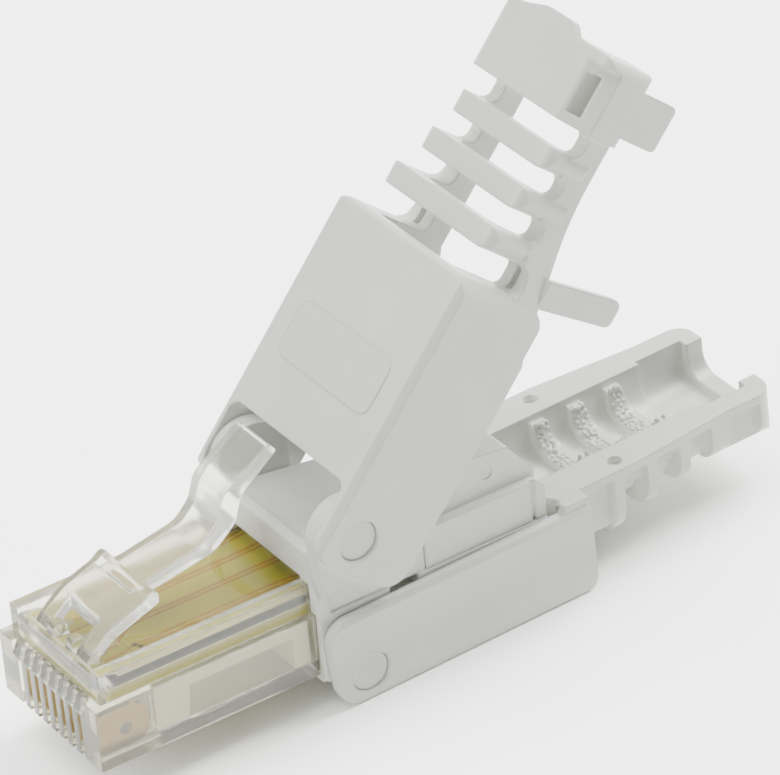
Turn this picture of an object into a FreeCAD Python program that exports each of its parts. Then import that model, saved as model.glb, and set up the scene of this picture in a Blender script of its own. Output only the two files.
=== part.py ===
import FreeCAD, Part
import math
import os

# Toolless eight-way modular plug, millimetres.
# World frame: +X along the plug from its nose to its cable tail, +Z up on the latch side.
# The origin lies on the surface that the plug rests on, under the middle of the lower cover's flat.
# The plug itself is laid out in its own frame: x from the nose's front face, z from the nose's
# underside.  Each cover is laid out closed, about its own trunnion, and is then turned open.

# --- nose (clear moulding) ---
NOSE_WIDTH = 11.68          # fixed by the jack it enters
NOSE_HEIGHT = 6.6           # over the side rails
NOSE_LENGTH = 16.3          # front face to the housing's flange
NOSE_STEP = 4.5             # height of the full-width lower part
RAIL_INSET = 0.55           # side rails stand in from the full width
RAIL_SETBACK = 0.7          # rails start behind the front face
RAIL_WIDTH = 0.95
NOSE_WALL = 0.85
ROOF = 0.55                 # clear roof over the board, between the rails
ROOT_BLOCK = 1.75           # length of the block that carries the latch root
LUG_TOP = 6.95              # two lugs between the latch's straps
LUG_INNER = 0.75
LUG_WIDTH = 0.75
# --- contacts ---
CONTACTS = 8
PITCH = 1.02
CONTACT_THICKNESS = 0.34
CONTACT_LENGTH = 3.9
CONTACT_HEIGHT = 3.0
CONTACT_EYE = 0.45          # radius of the eye through each contact
SLOT_CLEARANCE = 0.05
SLOT_TOP = 3.3              # top of the slots in the front face
# --- board ---
BOARD_THICKNESS = 1.0
BOARD_BOTTOM = 4.05
BOARD_WIDTH = 9.4
BOARD_MARGIN = 1.1          # board left behind the rear row of blades
FIT = 0.05                  # gap round pieces that slide into each other
# --- latch ---
LATCH_BASE_WIDTH = 6.2
LATCH_TAB_WIDTH = 3.5
LATCH_STRAP_WIDTH = 1.4
LATCH_HINGE_X = 1.75
LATCH_HINGE_Z = 6.1
LATCH_BARREL = 0.42
LATCH_REACH = 15.25         # hinge to the thumb tab's tip
# --- terminal housing ---
HOUSING_WIDTH = 12.6
FLANGE_THICKNESS = 0.85
HOUSING_LEDGE = 4.55        # height at which the housing's side steps in
HOUSING_FLOOR = -0.5
HOUSING_LENGTH = 17.5       # from the flange's front face to the rear
FRONT_BLOCK_LENGTH = 8.1
FRONT_BLOCK_TOP = 8.9
EAR_THICKNESS = 1.3
EAR_RADIUS = 2.6
LOWER_EAR_RADIUS = 1.75
PIVOT_SETBACK = 2.85        # trunnion axes behind the flange's front face
UPPER_PIVOT_Z = 9.56
LOWER_PIVOT_Z = -0.42
TRUNNION_RADIUS = 1.36
TRUNNION_CLEARANCE = 0.06
TRUNNION_RECESS = 0.2       # trunnion ends below the covers' side faces
# --- insulation displacement terminals ---
BLADE_THICKNESS = 0.4
BLADE_WIDTH = 1.5
BLADE_HEIGHT = 7.6          # top of the fork
BLADE_SLOT = 0.36
BLADE_PITCH = 2.0
BLADE_ROW_GAP = 3.4
BLADE_SETBACK = 2.5         # first row behind the cap's front face
TERMINAL_TOP = 7.0          # top of the terminal posts
# --- wire cap ---
CAP_GAP = 0.1               # between the front block and the cap
CAP_SHOULDER = 7.55
CAP_TOP = 10.75
CAP_WALL = 0.85
CAP_BLOCK_WIDTH = 11.0
WIRE_HOLE_RADIUS = 0.62
# --- covers ---
COVER_WIDTH = 14.4
SIDE_CLEARANCE = 0.1        # housing's side to a cover's inner face
COVER_END_WALL = 1.3
COVER_FRONT = 2.25          # from trunnion axis forward
COVER_OVERHANG = 3.25       # covers reach this far behind the housing
COVER_PANEL = 1.1
UPPER_TOP = 2.75            # top panel's face above the trunnion axis
LOWER_BOTTOM = 2.05         # underside below the trunnion axis
COVER_BEVEL = 0.45
COVER_CORNER = 1.5          # rear corners of the upper cover, in plan
PARTING_OFFSET = 0.06       # the upper side walls reach past the mid-plane
PARTING_GAP = 0.42          # between the closed side walls
SILL_GAP = 0.18             # between the closed rear walls
SILL_LENGTH = 2.7           # thick rear wall of the lower cover
NOTCH_DEPTH = 3.0           # front edge of the top panel behind the trunnion axis
LOWER_FLOOR_START = 2.4
# --- tails ---
TAIL_LENGTH = 16.0          # behind the covers' rear faces
TAIL_GAP = 0.5              # between the closed rails
UPPER_TAIL_INNER = 4.0      # half width of the cable's channel
LOWER_TAIL_INNER = 3.2
RIB_SETBACK = 1.85          # first upper rib behind the cover's rear face
RIB_PITCH = 2.98
RIB_LENGTH = 1.55
UPPER_RIBS = 3
UPPER_RAIL_WIDTH = 1.05
UPPER_RAIL_HEIGHT = 1.8
VALLEY_RADIUS = 0.6         # where a rib's leg meets the rail
RIB_ROOT = 12.25            # span of the ribs at the shell and at the collar
RIB_TIP = 10.25
CRADLE_RIBS = 4
CRADLE_PITCH = 2.76
CRADLE_LENGTH = 0.85
CRADLE_ROOT = 11.7
CRADLE_TIP = 10.3
LOWER_RAIL_HEIGHT = 0.6
RIB_FACE_SETBACK = 0.55     # first lower rib behind the first upper one
GROOVE_DEPTH = 0.85         # wall between the lower ribs, in from their faces
RAMP_LENGTH = 0.9
RAIL_STRAIGHT = 4.0         # lower rails keep their width this far behind the cover
COLLAR_LENGTH = 5.0
COLLAR_HEIGHT = 4.7
COLLAR_WIDTH = 11.7
COLLAR_TONGUE = 0.65
ARM_LENGTH = 6.25
ARM_THICKNESS = 0.6
ARM_WIDTH = 1.9
TAB_LENGTH = 2.8
TAB_WIDTH = 3.2
SIDE_TAB_THICKNESS = 0.65
GRIP_RIBS = 3
GRIP_RIB = 1.75
GRIP_FLANK = 0.65
# --- pose ---
UPPER_OPEN_DEG = 49.6       # upper cover turned up from the nose's line
LEAN_DEG = 1.9              # the plug leans nose down on its lower cover

PIVOT_X = NOSE_LENGTH + PIVOT_SETBACK
FRONT = NOSE_LENGTH
HOUSING_REAR = FRONT + HOUSING_LENGTH
FRONT_BLOCK_END = FRONT + FRONT_BLOCK_LENGTH
CAP_FRONT = FRONT_BLOCK_END + CAP_GAP
CAP_REAR = HOUSING_REAR
BOARD_END = CAP_FRONT + BLADE_SETBACK + BLADE_ROW_GAP + BOARD_MARGIN
COVER_REAR = HOUSING_LENGTH - PIVOT_SETBACK + COVER_OVERHANG    # from trunnion axis to the rear face
RIB_START = COVER_REAR + RIB_SETBACK
TAIL_END = COVER_REAR + TAIL_LENGTH
HALF_SPAN = (UPPER_PIVOT_Z - LOWER_PIVOT_Z) / 2     # each trunnion axis to the parting plane
UPPER_DROP = HALF_SPAN + PARTING_OFFSET             # lower edge of the upper side walls
LOWER_RISE = HALF_SPAN - PARTING_OFFSET - PARTING_GAP   # upper edge of the lower side walls
LOWER_REAR = COVER_REAR - 0.3
SILL_FRONT = LOWER_REAR - SILL_LENGTH
HOUSING_HALF = HOUSING_WIDTH / 2
COVER_INNER = HOUSING_HALF + SIDE_CLEARANCE
EPS = 0.5                   # how far a cutting tool runs past the surface it opens


def box(x0, x1, y0, y1, z0, z1):
    return Part.makeBox(x1 - x0, y1 - y0, z1 - z0, FreeCAD.Vector(x0, y0, z0))


def slab(x0, x1, half, z0, z1):
    """Box centred on the plug's middle plane."""
    return box(x0, x1, -half, half, z0, z1)


def rounded_wire(points, to_3d):
    """Closed wire through (a, b, radius) corners, each corner an arc of its own radius."""
    corners = []
    count = len(points)
    for i, (a, b, radius) in enumerate(points):
        here = FreeCAD.Vector(a, b, 0)
        before = FreeCAD.Vector(*points[i - 1][:2], 0)
        after = FreeCAD.Vector(*points[(i + 1) % count][:2], 0)
        back = (before - here)
        ahead = (after - here)
        if radius <= 0:
            corners.append((here, here, here))
            continue
        half_angle = back.getAngle(ahead) / 2
        run = min(radius / math.tan(half_angle), back.Length * 0.49, ahead.Length * 0.49)
        radius = run * math.tan(half_angle)
        back.normalize()
        ahead.normalize()
        bisector = back + ahead
        bisector.normalize()
        middle = here + bisector * (radius / math.sin(half_angle) - radius)
        corners.append((here + back * run, middle, here + ahead * run))
    edges = []
    for i, (start, middle, end) in enumerate(corners):
        if (end - start).Length > 1e-6:
            edges.append(Part.Arc(to_3d(start), to_3d(middle), to_3d(end)).toShape())
        following = corners[(i + 1) % count][0]
        if (following - end).Length > 1e-6:
            edges.append(Part.makeLine(to_3d(end), to_3d(following)))
    return Part.Wire(edges)


def prism_xz(points, y0, y1):
    """Side outline (x, z, radius) carried across the plug from y0 to y1."""
    wire = rounded_wire(points, lambda p: FreeCAD.Vector(p.x, y0, p.y))
    return Part.Face(wire).extrude(FreeCAD.Vector(0, y1 - y0, 0))


def prism_yz(points, x0, x1):
    """Cross-section (y, z, radius) carried along the plug from x0 to x1."""
    wire = rounded_wire(points, lambda p: FreeCAD.Vector(x0, p.x, p.y))
    return Part.Face(wire).extrude(FreeCAD.Vector(x1 - x0, 0, 0))


def prism_xy(points, z0, z1):
    """Plan outline (x, y, radius) carried up from z0 to z1."""
    wire = rounded_wire(points, lambda p: FreeCAD.Vector(p.x, p.y, z0))
    return Part.Face(wire).extrude(FreeCAD.Vector(0, 0, z1 - z0))


def rod_y(radius, x, z, y0, y1):
    return Part.makeCylinder(radius, y1 - y0, FreeCAD.Vector(x, y0, z), FreeCAD.Vector(0, 1, 0))


def mirrored(shape):
    return shape.mirror(FreeCAD.Vector(0, 0, 0), FreeCAD.Vector(0, 1, 0))


def both_sides(shape):
    return shape.fuse(mirrored(shape))


def contact_y(index):
    return (index - (CONTACTS - 1) / 2) * PITCH


# ---------------------------------------------------------------- nose

ROOF_TOP = BOARD_BOTTOM + BOARD_THICKNESS + FIT + ROOF
CHANNEL_HALF = NOSE_WIDTH / 2 - RAIL_INSET - RAIL_WIDTH
BLOCK_END = RAIL_SETBACK + ROOT_BLOCK
SLOT_LENGTH = 0.4 + CONTACT_LENGTH + 0.15
STRAP_OUTER = LATCH_BASE_WIDTH / 2


def nose_shell():
    half = NOSE_WIDTH / 2
    rail_half = half - RAIL_INSET
    body = slab(0, NOSE_LENGTH, half, 0, NOSE_STEP)
    body = body.fuse(slab(RAIL_SETBACK, NOSE_LENGTH, rail_half, NOSE_STEP, NOSE_HEIGHT))
    channel = slab(RAIL_SETBACK - EPS, NOSE_LENGTH + EPS, CHANNEL_HALF, ROOF_TOP, NOSE_HEIGHT + EPS)
    body = body.cut(channel)
    root = [
        (RAIL_SETBACK, ROOF_TOP - EPS, 0), (BLOCK_END, ROOF_TOP - EPS, 0),
        (BLOCK_END, LATCH_HINGE_Z - 0.2, 0.1), (RAIL_SETBACK, LATCH_HINGE_Z + 0.25, 0.35),
    ]
    lug = prism_xz([
        (BLOCK_END - 1.5, ROOF_TOP - EPS, 0), (BLOCK_END - 0.15, ROOF_TOP - EPS, 0),
        (BLOCK_END - 0.15, LUG_TOP, 0.45), (BLOCK_END - 1.2, LUG_TOP, 0.3),
    ], LUG_INNER, LUG_INNER + LUG_WIDTH)
    slope = prism_xz([
        (-EPS, SLOT_TOP + 0.2, 0), (0, SLOT_TOP + 0.2, 0), (RAIL_SETBACK + 0.25, ROOF_TOP, 0), (-EPS, ROOF_TOP, 0),
    ], -CHANNEL_HALF, CHANNEL_HALF)
    body = body.fuse(prism_xz(root, -CHANNEL_HALF, CHANNEL_HALF)).cut(slope).fuse(both_sides(lug))
    inner = half - NOSE_WALL
    cavity = slab(SLOT_LENGTH, NOSE_LENGTH + EPS, inner, NOSE_WALL, BOARD_BOTTOM)
    board_room = slab(RAIL_SETBACK + 0.6, NOSE_LENGTH + EPS, BOARD_WIDTH / 2 + FIT,
                      BOARD_BOTTOM - FIT, BOARD_BOTTOM + BOARD_THICKNESS + FIT)
    body = body.cut(cavity.fuse(board_room))
    width = CONTACT_THICKNESS + 2 * SLOT_CLEARANCE
    for i in range(CONTACTS):
        y = contact_y(i)
        front = box(-EPS, 0.6, y - width / 2, y + width / 2, -EPS, SLOT_TOP)
        rear = box(0.5, SLOT_LENGTH + EPS, y - width / 2, y + width / 2, -EPS, BOARD_BOTTOM)
        body = body.cut(front.fuse(rear))
    groove = rod_y(LATCH_BARREL + FIT, LATCH_HINGE_X, LATCH_HINGE_Z,
                   STRAP_OUTER - LATCH_STRAP_WIDTH - 0.1, STRAP_OUTER + 0.1)
    return body.cut(both_sides(groove))


def contact(index):
    """Stamped plug contact: a blade with a rounded back and an eye, and a pin up through the board."""
    y = contact_y(index)
    front, bottom = 0.4, 0.25
    top = bottom + CONTACT_HEIGHT
    rear = front + CONTACT_LENGTH
    blade = prism_xz([
        (front, bottom, 0.5), (rear, bottom, 1.2), (rear, top, 1.4), (front, top, 0),
    ], y - CONTACT_THICKNESS / 2, y + CONTACT_THICKNESS / 2)
    pin_x = pin_place(index)
    pin = box(pin_x - 0.2, pin_x + 0.2, y - CONTACT_THICKNESS / 2, y + CONTACT_THICKNESS / 2,
              top - 0.6, BOARD_BOTTOM + BOARD_THICKNESS)
    eye = rod_y(CONTACT_EYE, (front + rear) / 2 + 0.2, (bottom + top) / 2 - 0.15, y - 1, y + 1)
    return blade.fuse(pin).cut(eye)


def pin_place(index):
    """Pins are staggered in two rows so that their pads have room on the board."""
    return 1.9 if index % 2 else 3.2


def circuit_board():
    board = prism_xy([
        (RAIL_SETBACK + 0.7, -BOARD_WIDTH / 2, 0.4), (BOARD_END, -BOARD_WIDTH / 2, 0.3),
        (BOARD_END, BOARD_WIDTH / 2, 0.3), (RAIL_SETBACK + 0.7, BOARD_WIDTH / 2, 0.4),
    ], BOARD_BOTTOM, BOARD_BOTTOM + BOARD_THICKNESS)
    for i in range(CONTACTS):
        pin_x, pin_y = pin_place(i), contact_y(i)
        hole = box(pin_x - 0.25, pin_x + 0.25, pin_y - 0.22, pin_y + 0.22, BOARD_BOTTOM - 1, BOARD_BOTTOM + 3)
        x, y = blade_place(i)
        slot = box(x - 0.25, x + 0.25, y - 0.45, y + 0.45, BOARD_BOTTOM - 1, BOARD_BOTTOM + 3)
        board = board.cut(hole.fuse(slot))
    return board


def contact_carrier():
    """White insulator in the nose: a plate under the board with a front block and a rear foot."""
    front = SLOT_LENGTH + FIT
    rear = NOSE_LENGTH - 0.4
    top = BOARD_BOTTOM - FIT
    floor = NOSE_WALL + FIT
    half = NOSE_WIDTH / 2 - NOSE_WALL - FIT
    plate = slab(front, rear, half, top - 0.8, top)
    block = prism_xz([
        (front, floor, 0), (front + 2.3, floor, 0.3), (front + 2.6, top - 0.4, 0.2), (front, top - 0.4, 0),
    ], -half, half)
    foot = slab(rear - 1.2, rear, half, floor, top - 0.4)
    return plate.fuse(block).fuse(foot)


# ---------------------------------------------------------------- latch

def latch_outline(points):
    """Side outline drawn from the hinge for a latch of 15.25, carried to LATCH_REACH."""
    scale = LATCH_REACH / 15.25
    return [(LATCH_HINGE_X + x * scale, LATCH_HINGE_Z + z * scale, radius * scale) for x, z, radius in points]


def latch_lever():
    """Latch with two root straps, a wide base with stop shoulders and a bent-up thumb tab."""
    half_base = LATCH_BASE_WIDTH / 2
    half_tab = LATCH_TAB_WIDTH / 2
    base = prism_xz(latch_outline([
        (1.25, 0.9, 0.1), (5.05, 2.25, 0.1), (5.05, 3.0, 0.3), (4.6, 3.25, 0.3), (3.85, 2.7, 0.4),
        (1.55, 1.9, 0.5),
    ]), -half_base, half_base)
    tab = prism_xz(latch_outline([
        (3.85, 2.0, 0), (10.15, 3.1, 2.2), (11.8, 4.5, 1.5), (12.35, 6.25, 1.6), (15.25, 8.5, 0.2),
        (14.75, 9.25, 0.45), (11.1, 6.85, 1.5), (10.55, 5.2, 1.5), (9.45, 4.0, 2.2), (3.85, 2.95, 0),
    ]), -half_tab, half_tab)
    strap = prism_xz(latch_outline([
        (-0.1, -0.35, 0.05), (0.55, 0.2, 0.3), (1.95, 1.2, 0),
        (1.6, 1.95, 0.2), (0.25, 0.85, 0.4), (-0.35, 0.2, 0.1),
    ]), half_base - LATCH_STRAP_WIDTH, half_base)
    barrel = rod_y(LATCH_BARREL, LATCH_HINGE_X, LATCH_HINGE_Z, half_base - LATCH_STRAP_WIDTH, half_base)
    roots = both_sides(strap.fuse(barrel))
    return base.fuse(tab).fuse(roots).removeSplitter()


# ---------------------------------------------------------------- terminal housing

def blade_place(index):
    """Middle of a terminal blade: two rows of four, the rows set off by half a pitch."""
    row, place = divmod(index, CONTACTS // 2)
    x = CAP_FRONT + BLADE_SETBACK + row * BLADE_ROW_GAP
    y = (place - (CONTACTS // 2 - 1) / 2) * BLADE_PITCH + (row - 0.5) * BLADE_PITCH / 2
    return x, y


def terminal_housing():
    half = HOUSING_HALF
    flange = prism_yz([
        (-half, HOUSING_FLOOR - 0.1, 0.5), (half, HOUSING_FLOOR - 0.1, 0.5), (half, 5.9, 0.3),
        (half - 0.5, 7.1, 0.4), (half - 1.3, FRONT_BLOCK_TOP, 0.4),
        (1.3 - half, FRONT_BLOCK_TOP, 0.4), (0.5 - half, 7.1, 0.4), (-half, 5.9, 0.3),
    ], FRONT, FRONT + FLANGE_THICKNESS)
    base = slab(FRONT + 0.2, HOUSING_REAR, half, HOUSING_FLOOR, HOUSING_LEDGE)
    block = slab(FRONT + 0.2, FRONT_BLOCK_END, half - 0.15, HOUSING_LEDGE, 6.6)
    hood = prism_xz([
        (FRONT + 0.2, 6, 0), (FRONT_BLOCK_END, 6, 0), (FRONT_BLOCK_END, 7.6, 0.3),
        (FRONT + 2.2, FRONT_BLOCK_TOP - 0.5, 0.8), (FRONT + 0.2, FRONT_BLOCK_TOP, 0),
    ], 1.4 - half, half - 1.4)
    body = flange.fuse(base).fuse(block).fuse(hood)
    ear_inner = half - EAR_THICKNESS
    upper_ear = prism_xz([
        (PIVOT_X - EAR_RADIUS, 6.0, 0), (PIVOT_X + EAR_RADIUS, 6.0, 0),
        (PIVOT_X + EAR_RADIUS, UPPER_PIVOT_Z + EAR_RADIUS, EAR_RADIUS),
        (PIVOT_X - EAR_RADIUS, UPPER_PIVOT_Z + EAR_RADIUS, EAR_RADIUS),
    ], ear_inner, half)
    lower_ear = prism_xz([
        (PIVOT_X - LOWER_EAR_RADIUS, LOWER_PIVOT_Z - LOWER_EAR_RADIUS, LOWER_EAR_RADIUS),
        (PIVOT_X + LOWER_EAR_RADIUS, LOWER_PIVOT_Z - LOWER_EAR_RADIUS, LOWER_EAR_RADIUS),
        (PIVOT_X + LOWER_EAR_RADIUS, 1.5, 0), (PIVOT_X - LOWER_EAR_RADIUS, 1.5, 0),
    ], ear_inner, half)
    reach = COVER_WIDTH / 2 - TRUNNION_RECESS
    for z in (UPPER_PIVOT_Z, LOWER_PIVOT_Z):
        body = body.fuse(both_sides(rod_y(TRUNNION_RADIUS, PIVOT_X, z, ear_inner, reach)))
    body = body.fuse(both_sides(upper_ear.fuse(lower_ear)))
    posts = slab(CAP_FRONT + CAP_WALL + 0.15, CAP_REAR - CAP_WALL - 0.15, CAP_BLOCK_WIDTH / 2 - CAP_WALL - 0.1,
                 HOUSING_LEDGE, TERMINAL_TOP)
    body = body.fuse(posts)
    return body.cut(housing_openings())


def housing_openings():
    """Board slot, blade slots and the square windows in both sides."""
    cuts = slab(FRONT - EPS, BOARD_END + FIT, BOARD_WIDTH / 2 + FIT,
                BOARD_BOTTOM - FIT, BOARD_BOTTOM + BOARD_THICKNESS + FIT)
    brow = slab(FRONT - EPS, FRONT + 1.1, CHANNEL_HALF, BOARD_BOTTOM + BOARD_THICKNESS, 6.75)
    cuts = cuts.fuse(brow)
    for i in range(CONTACTS):
        x, y = blade_place(i)
        slot = box(x - BLADE_THICKNESS / 2 - FIT, x + BLADE_THICKNESS / 2 + FIT,
                   y - BLADE_WIDTH / 2 - FIT, y + BLADE_WIDTH / 2 + FIT,
                   BOARD_BOTTOM - 0.3, TERMINAL_TOP + EPS)
        wire = box(x - 1.0, x + 1.0, y - 0.3, y + 0.3, TERMINAL_TOP - 1.3, TERMINAL_TOP + EPS)
        cuts = cuts.fuse(slot).fuse(wire)
    window = box(PIVOT_X + 2.45, PIVOT_X + 4.65, HOUSING_HALF - 1.2, HOUSING_HALF + EPS,
                 HOUSING_LEDGE - 1.0, HOUSING_LEDGE)
    return cuts.fuse(both_sides(window))


def terminal_blade(index):
    """Forked blade that cuts through a conductor's insulation, with a pin down into the board."""
    x, y = blade_place(index)
    half = BLADE_WIDTH / 2
    slot = BLADE_SLOT / 2
    bottom = BOARD_BOTTOM + BOARD_THICKNESS + FIT
    fork = prism_yz([
        (y - half, bottom, 0), (y + half, bottom, 0), (y + half, BLADE_HEIGHT - 0.2, 0),
        (y + half - 0.2, BLADE_HEIGHT, 0), (y + slot + 0.3, BLADE_HEIGHT, 0), (y + slot, BLADE_HEIGHT - 0.45, 0),
        (y + slot, bottom + 0.8, 0), (y - slot, bottom + 0.8, 0), (y - slot, BLADE_HEIGHT - 0.45, 0),
        (y - slot - 0.3, BLADE_HEIGHT, 0), (y - half + 0.2, BLADE_HEIGHT, 0), (y - half, BLADE_HEIGHT - 0.2, 0),
    ], x - BLADE_THICKNESS / 2, x + BLADE_THICKNESS / 2)
    pin = box(x - BLADE_THICKNESS / 2, x + BLADE_THICKNESS / 2, y - 0.35, y + 0.35,
              BOARD_BOTTOM - 0.25, bottom + 0.2)
    return fork.fuse(pin)


# ---------------------------------------------------------------- wire cap

def wire_cap():
    half = HOUSING_HALF - 0.1
    block_half = CAP_BLOCK_WIDTH / 2
    bottom = HOUSING_LEDGE + 0.05
    skirt = prism_xz([
        (CAP_FRONT, bottom, 0), (CAP_REAR, bottom, 0), (CAP_REAR, CAP_SHOULDER - 0.6, 0.3),
        (CAP_REAR - 0.6, CAP_SHOULDER, 0.3), (CAP_FRONT, CAP_SHOULDER, 0.2),
    ], -half, half)
    block = prism_xz([
        (CAP_FRONT + 1.4, CAP_SHOULDER - 0.5, 0), (CAP_REAR - 0.3, CAP_SHOULDER - 0.5, 0),
        (CAP_REAR - 0.3, CAP_SHOULDER + 0.4, 0.4), (CAP_REAR - 2.2, CAP_TOP - 0.3, 0.4),
        (CAP_FRONT + 4.2, CAP_TOP, 0.5), (CAP_FRONT + 3.3, CAP_TOP - 0.6, 0.4),
        (CAP_FRONT + 1.4, CAP_SHOULDER + 0.2, 0.3),
    ], -block_half, block_half)
    body = skirt.fuse(block)
    hollow = slab(CAP_FRONT + CAP_WALL, CAP_REAR - CAP_WALL, block_half - CAP_WALL, bottom - EPS,
                  BLADE_HEIGHT + 0.15)
    board_room = slab(CAP_FRONT - EPS, BOARD_END + 2 * FIT, BOARD_WIDTH / 2 + 2 * FIT, bottom - EPS,
                      BOARD_BOTTOM + BOARD_THICKNESS + 2 * FIT)
    body = body.cut(hollow).cut(board_room)
    for i in range(CONTACTS):
        x, y = blade_place(i)
        z = TERMINAL_TOP - 0.1
        hole = Part.makeCylinder(WIRE_HOLE_RADIUS, CAP_REAR + EPS - x, FreeCAD.Vector(x, y, z),
                                 FreeCAD.Vector(1, 0, 0))
        body = body.cut(hole)
    groove = box(CAP_REAR - 1.1, CAP_REAR - 0.75, half - 0.25, half + EPS, bottom - EPS, CAP_SHOULDER + EPS)
    ejector = rod_y(0.45, CAP_REAR - 3.9, (CAP_SHOULDER + CAP_TOP) / 2, block_half - 0.08, block_half + EPS)
    return body.cut(both_sides(groove)).cut(both_sides(ejector))


# ---------------------------------------------------------------- upper cover, closed, about its trunnion

def upper_shell():
    half = COVER_WIDTH / 2
    low = -UPPER_DROP
    outer = prism_xz([
        (-COVER_FRONT, low, 1.7), (SILL_FRONT - 0.8, low, 0.5), (SILL_FRONT - 0.3, SILL_GAP - HALF_SPAN, 0.5),
        (COVER_REAR, SILL_GAP - HALF_SPAN, 1.3), (COVER_REAR, UPPER_TOP, 0.35),
        (-COVER_FRONT, UPPER_TOP, 1.7),
    ], -half, half)
    plan = prism_xy([
        (-COVER_FRONT - EPS, -half, 0), (COVER_REAR, -half, COVER_CORNER), (COVER_REAR, half, COVER_CORNER),
        (-COVER_FRONT - EPS, half, 0),
    ], low - EPS, UPPER_TOP + EPS)
    room = slab(-COVER_FRONT - EPS, COVER_REAR - COVER_END_WALL, COVER_INNER, low - EPS, UPPER_TOP - COVER_PANEL)
    notch = prism_xy([
        (-COVER_FRONT - EPS, -COVER_INNER, 0), (NOTCH_DEPTH, -COVER_INNER, 0.8),
        (NOTCH_DEPTH, COVER_INNER, 0.8), (-COVER_FRONT - EPS, COVER_INNER, 0),
    ], low - EPS, UPPER_TOP + EPS)
    bevel = prism_yz([
        (half + EPS, UPPER_TOP - COVER_BEVEL - EPS, 0), (half + EPS, UPPER_TOP + EPS, 0),
        (half - COVER_BEVEL - EPS, UPPER_TOP + EPS, 0),
    ], -COVER_FRONT - EPS, COVER_REAR + EPS)
    shell = outer.common(plan).cut(room).cut(notch).cut(both_sides(bevel))
    return shell.cut(rod_y(TRUNNION_RADIUS + TRUNNION_CLEARANCE, 0, 0, -half - EPS, half + EPS))


def taper(u, at_root, at_tip):
    """Tail sizes fall quickly behind the covers and level off towards the collar."""
    share = min(max((u - COVER_REAR) / (TAIL_END - COLLAR_LENGTH - COVER_REAR), 0), 1)
    return at_tip + (at_root - at_tip) * (1 - share) ** 2


def arch(x, low):
    """Arched rib over the cable, its ends rounded in plan."""
    half = taper(x, RIB_ROOT, RIB_TIP) / 2
    crown = taper(x, 7.2, COLLAR_HEIGHT - 0.1) - HALF_SPAN
    inner_top = max(crown - 1.35, low + 1.1)
    section = prism_yz([
        (UPPER_TAIL_INNER, low + 0.6, 0), (half, low + 0.6, 0.4), (half, crown, 0.9), (-half, crown, 0.9),
        (-half, low + 0.6, 0.4), (-UPPER_TAIL_INNER, low + 0.6, 0), (-UPPER_TAIL_INNER, inner_top, 1.4),
        (UPPER_TAIL_INNER, inner_top, 1.4),
    ], x, x + RIB_LENGTH)
    corner = RIB_LENGTH * 0.48
    plan = prism_xy([
        (x, -half, corner), (x + RIB_LENGTH, -half, corner), (x + RIB_LENGTH, half, corner), (x, half, corner),
    ], low, crown + EPS)
    return section.common(plan)


def upper_rails(low):
    """Two rails in plan: wide where they leave the shell, slim along the ribs."""
    root = COVER_WIDTH / 2 - 0.6
    slim = UPPER_TAIL_INNER + UPPER_RAIL_WIDTH
    inner = UPPER_TAIL_INNER
    start = COVER_REAR - 0.6
    end = TAIL_END - COLLAR_LENGTH + EPS
    rail = prism_xy([
        (start, inner, 0), (start, root, 0), (start + 0.3, root, 0), ((COVER_REAR + end) / 2, slim, 19),
        (end, slim, 0), (end, inner, 0),
    ], low, low + UPPER_RAIL_HEIGHT + VALLEY_RADIUS)
    top = low + UPPER_RAIL_HEIGHT
    for i in range(UPPER_RIBS + 1):
        before = RIB_START + (i - 1) * RIB_PITCH + RIB_LENGTH if i else COVER_REAR
        behind = RIB_START + i * RIB_PITCH if i < UPPER_RIBS else TAIL_END - COLLAR_LENGTH
        valley = prism_xz([
            (before, top, VALLEY_RADIUS), (behind, top, VALLEY_RADIUS), (behind, top + 2, 0), (before, top + 2, 0),
        ], inner - EPS, COVER_WIDTH / 2)
        rail = rail.cut(valley)
    slit = box(COVER_REAR + 0.15, COVER_REAR + 1.75, inner + 0.9, inner + 1.4, low - EPS, low + UPPER_RAIL_HEIGHT + EPS)
    return both_sides(rail.cut(slit))


def upper_collar(low):
    half = COLLAR_WIDTH / 2
    top = COLLAR_HEIGHT - HALF_SPAN
    start = TAIL_END - COLLAR_LENGTH
    bore = UPPER_TAIL_INNER - 1.0
    body = prism_yz([
        (half, low, 0.6), (half, top, 1.1), (-half, top, 1.1), (-half, low, 0.6), (-bore, low, 0.2),
        (-bore, top - 1.3, 2.2), (bore, top - 1.3, 2.2), (bore, low, 0.2),
    ], start, TAIL_END)
    facet = prism_yz([
        (2.05 - half, top + EPS, 0), (2.05 - half, top, 0), (-half, top - 1.46, 0), (-half - EPS, top - 1.46, 0),
        (-half - EPS, top + EPS, 0),
    ], start - EPS, TAIL_END - 0.7)
    plan = prism_xy([
        (start, -half, 0), (TAIL_END, -half, 0.8), (TAIL_END, half, 0.8), (start, half, 0),
    ], low - EPS, top + EPS)
    pocket = box(start + 0.7, TAIL_END - 1.45, 0.9 - half, 1.75 - half, top - 2.8, top + EPS)
    tongue = prism_xy([
        (TAIL_END - EPS, -2.0, 0), (TAIL_END, -2.0, 0.4), (TAIL_END + COLLAR_TONGUE, -1.2, 0.5),
        (TAIL_END + COLLAR_TONGUE, 1.6, 2.5), (TAIL_END, 3.9, 1.2), (TAIL_END - EPS, 3.9, 0),
    ], top - 0.5, top)
    return body.common(plan).cut(facet).cut(pocket).fuse(tongue)


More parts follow.
